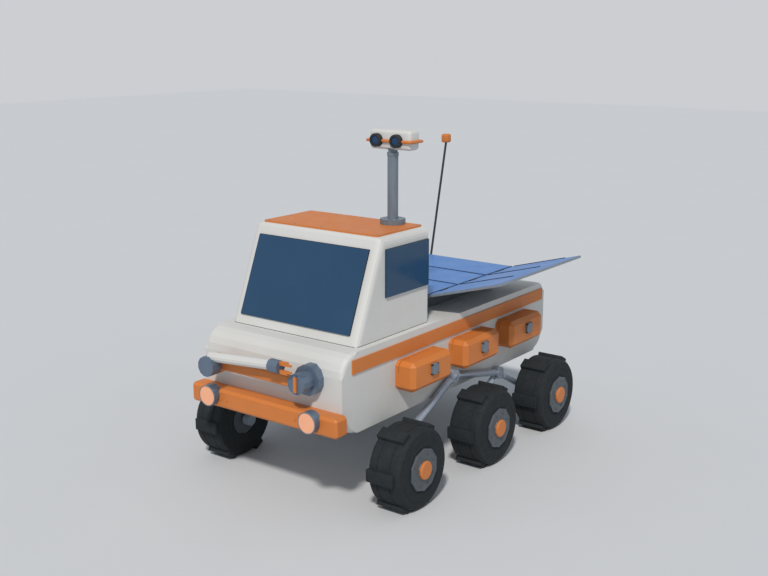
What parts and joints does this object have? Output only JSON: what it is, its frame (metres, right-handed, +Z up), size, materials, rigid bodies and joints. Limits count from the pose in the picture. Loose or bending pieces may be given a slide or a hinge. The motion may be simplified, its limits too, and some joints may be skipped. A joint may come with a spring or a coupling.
{
  "type": "planetary rover",
  "caption": "Crewed planetary rover with a raked cab, lugged wheels on rocker legs, side lockers, folding solar wings, camera mast, aerial and a folded sampling arm.",
  "frame": {"origin": "on the ground under the middle of the whole vehicle", "axes": "+Z up, -Y the way the rover drives, +X its left side"},
  "size_m": [3.3948, 4.915, 4.009],
  "materials": {
    "white_paint": "satin",
    "orange_paint": "satin",
    "steel": "satin",
    "dark_metal": "matte",
    "rubber": "matte",
    "tinted_glass": "gloss",
    "lamp_glass": "frosted",
    "solar_cells": "semi-gloss"
  },
  "bodies": {
    "rover": {"hull": "white_paint", "cab": "white_paint", "stripe_left": "orange_paint", "stripe_right": "orange_paint", "bumper": "orange_paint", "roof_plate": "orange_paint", "locker_left_1": "orange_paint", "locker_left_2": "orange_paint", "locker_left_3": "orange_paint", "locker_right_1": "orange_paint", "locker_right_2": "orange_paint", "locker_right_3": "orange_paint", "lamp_left": "steel", "lamp_right": "steel", "mast": "steel", "rocker_left": "steel", "rocker_right": "steel", "bogie_left": "steel", "bogie_right": "steel", "array_pedestal": "dark_metal", "aerial": "dark_metal", "arm_base": "dark_metal", "windscreen": "tinted_glass", "side_window_left": "tinted_glass", "side_window_right": "tinted_glass", "lamp_lens_left": "lamp_glass", "lamp_lens_right": "lamp_glass", "array_centre": "solar_cells"},
    "wheel_front_left": {"tyre_front_left": "rubber", "hub_front_left": "steel"},
    "wheel_middle_left": {"tyre_middle_left": "rubber", "hub_middle_left": "steel"},
    "wheel_rear_left": {"tyre_rear_left": "rubber", "hub_rear_left": "steel"},
    "lid_left_1": {"lid_left_1": "orange_paint"},
    "lid_left_2": {"lid_left_2": "orange_paint"},
    "lid_left_3": {"lid_left_3": "orange_paint"},
    "wing_left": {"array_wing_left": "solar_cells"},
    "wheel_front_right": {"tyre_front_right": "rubber", "hub_front_right": "steel"},
    "wheel_middle_right": {"tyre_middle_right": "rubber", "hub_middle_right": "steel"},
    "wheel_rear_right": {"tyre_rear_right": "rubber", "hub_rear_right": "steel"},
    "lid_right_1": {"lid_right_1": "orange_paint"},
    "lid_right_2": {"lid_right_2": "orange_paint"},
    "lid_right_3": {"lid_right_3": "orange_paint"},
    "wing_right": {"array_wing_right": "solar_cells"},
    "upper_arm": {"arm_shoulder": "dark_metal", "arm_upper": "orange_paint"},
    "forearm": {"arm_elbow": "dark_metal", "arm_forearm": "white_paint"},
    "wrist": {"arm_wrist": "steel"},
    "finger_upper": {"finger_upper": "orange_paint"},
    "finger_lower": {"finger_lower": "orange_paint"},
    "camera_neck": {"camera_neck": "steel"},
    "camera_head": {"camera_head": "white_paint", "camera_band": "orange_paint"}
  },
  "joints": [
    {"name": "wheel_front_left_spin", "type": "hinge", "parent": "rover", "child": "wheel_front_left", "pos_m": [1.3193, -1.3355, 0.46541], "axis": [1, 0, 0], "continuous": true},
    {"name": "wheel_middle_left_spin", "type": "hinge", "parent": "rover", "child": "wheel_middle_left", "pos_m": [1.3193, 0.2405, 0.46541], "axis": [1, 0, 0], "continuous": true},
    {"name": "wheel_rear_left_spin", "type": "hinge", "parent": "rover", "child": "wheel_rear_left", "pos_m": [1.3193, 1.7505, 0.46541], "axis": [1, 0, 0], "continuous": true},
    {"name": "lid_left_1_open", "type": "hinge", "parent": "rover", "child": "lid_left_1", "pos_m": [1.05, -0.7395, 1.544], "axis": [0, -1, 0], "range_deg": [0, 90]},
    {"name": "lid_left_2_open", "type": "hinge", "parent": "rover", "child": "lid_left_2", "pos_m": [1.05, 0.3265, 1.544], "axis": [0, -1, 0], "range_deg": [0, 90]},
    {"name": "lid_left_3_open", "type": "hinge", "parent": "rover", "child": "lid_left_3", "pos_m": [1.05, 1.3925, 1.544], "axis": [0, -1, 0], "range_deg": [0, 90]},
    {"name": "wing_left_fold", "type": "hinge", "parent": "rover", "child": "wing_left", "pos_m": [0.72, 0.9085, 2.044], "axis": [0, -1, 0], "range_deg": [-15.5, 74.5]},
    {"name": "wheel_front_right_spin", "type": "hinge", "parent": "rover", "child": "wheel_front_right", "pos_m": [-1.3193, -1.3355, 0.46541], "axis": [1, 0, 0], "continuous": true},
    {"name": "wheel_middle_right_spin", "type": "hinge", "parent": "rover", "child": "wheel_middle_right", "pos_m": [-1.3193, 0.2405, 0.46541], "axis": [1, 0, 0], "continuous": true},
    {"name": "wheel_rear_right_spin", "type": "hinge", "parent": "rover", "child": "wheel_rear_right", "pos_m": [-1.3193, 1.7505, 0.46541], "axis": [1, 0, 0], "continuous": true},
    {"name": "lid_right_1_open", "type": "hinge", "parent": "rover", "child": "lid_right_1", "pos_m": [-1.05, -0.7395, 1.544], "axis": [0, 1, 0], "range_deg": [0, 90]},
    {"name": "lid_right_2_open", "type": "hinge", "parent": "rover", "child": "lid_right_2", "pos_m": [-1.05, 0.3265, 1.544], "axis": [0, 1, 0], "range_deg": [0, 90]},
    {"name": "lid_right_3_open", "type": "hinge", "parent": "rover", "child": "lid_right_3", "pos_m": [-1.05, 1.3925, 1.544], "axis": [0, 1, 0], "range_deg": [0, 90]},
    {"name": "wing_right_fold", "type": "hinge", "parent": "rover", "child": "wing_right", "pos_m": [-0.72, 0.9085, 2.044], "axis": [0, 1, 0], "range_deg": [-15.5, 74.5]},
    {"name": "arm_shoulder", "type": "hinge", "parent": "rover", "child": "upper_arm", "pos_m": [0.594, -2.1575, 1.51], "axis": [0, 1, 0], "range_deg": [0, 120]},
    {"name": "arm_elbow", "type": "hinge", "parent": "upper_arm", "child": "forearm", "pos_m": [-0.6, -2.3085, 1.51], "axis": [0, -1, 0], "range_deg": [0, 180]},
    {"name": "arm_wrist_roll", "type": "hinge", "parent": "forearm", "child": "wrist", "pos_m": [0.2965, -2.3765, 1.681], "axis": [1, 0, 0], "range_deg": [-90, 90]},
    {"name": "gripper_upper", "type": "slide", "parent": "wrist", "child": "finger_upper", "axis": [0, 0, -1], "range_m": [0, 0.022]},
    {"name": "gripper_lower", "type": "slide", "parent": "wrist", "child": "finger_lower", "axis": [0, 0, 1], "range_m": [0, 0.022]},
    {"name": "camera_pan", "type": "hinge", "parent": "rover", "child": "camera_neck", "pos_m": [0.52, -0.5265, 3.714], "axis": [0, 0, 1], "range_deg": [-170, 170]},
    {"name": "camera_tilt", "type": "hinge", "parent": "camera_neck", "child": "camera_head", "pos_m": [0.52, -0.5265, 3.834], "axis": [1, 0, 0], "range_deg": [-15, 15]}
  ],
  "couplings": [
    {"joint": "gripper_lower", "follows": "gripper_upper", "ratio": 1}
  ]
}
